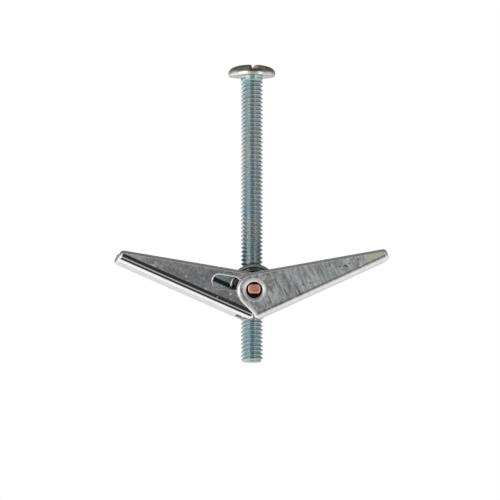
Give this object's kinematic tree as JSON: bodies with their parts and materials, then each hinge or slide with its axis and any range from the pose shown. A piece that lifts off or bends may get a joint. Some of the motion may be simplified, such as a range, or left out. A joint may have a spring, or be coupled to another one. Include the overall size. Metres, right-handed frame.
{
  "type": "spring toggle wall anchor",
  "caption": "Cavity wall anchor: slotted machine screw through a barrel nut with folding spring-loaded channel wings that open behind a board.",
  "frame": {"origin": "centre of the head's flat bearing face, on the screw's axis", "axes": "+Z along the screw, out of the head; the wings spread along X and hinge about a line parallel to Y; -Y is the side whose right-hand ear is the outer one"},
  "size_m": [0.0478, 0.0092, 0.052],
  "materials": {
    "screw_zinc": "bright blue-passivated zinc plate on rolled thread",
    "nut_copper": "dull copper plate",
    "wing_zinc_left": "dull zinc plate on pressed sheet, darker",
    "wing_zinc_right": "blue-passivated zinc plate on pressed sheet, cross-brushed",
    "spring_wire": "drawn spring wire"
  },
  "bodies": {
    "screw": {"bolt": "screw_zinc"},
    "nut": {"trunnion_nut": "nut_copper", "torsion_spring": "spring_wire"},
    "left_wing": {"left_wing": "wing_zinc_left"},
    "right_wing": {"right_wing": "wing_zinc_right"}
  },
  "joints": [
    {"name": "nut_travel", "type": "slide", "parent": "screw", "child": "nut", "axis": [0, 0, 1], "range_m": [-0.009, 0.013]},
    {"name": "left_wing_hinge", "type": "hinge", "parent": "nut", "child": "left_wing", "pos_m": [0, 0, -0.0375], "axis": [0, 1, 0], "range_deg": [0, 65], "stiffness_Nm_per_rad": 0.03, "springref_deg": -34.38, "deforming": ["torsion_spring"]},
    {"name": "right_wing_hinge", "type": "hinge", "parent": "nut", "child": "right_wing", "pos_m": [0, 0, -0.0375], "axis": [0, -1, 0], "range_deg": [0, 65], "stiffness_Nm_per_rad": 0.03, "springref_deg": -34.38, "deforming": ["torsion_spring"]}
  ]
}
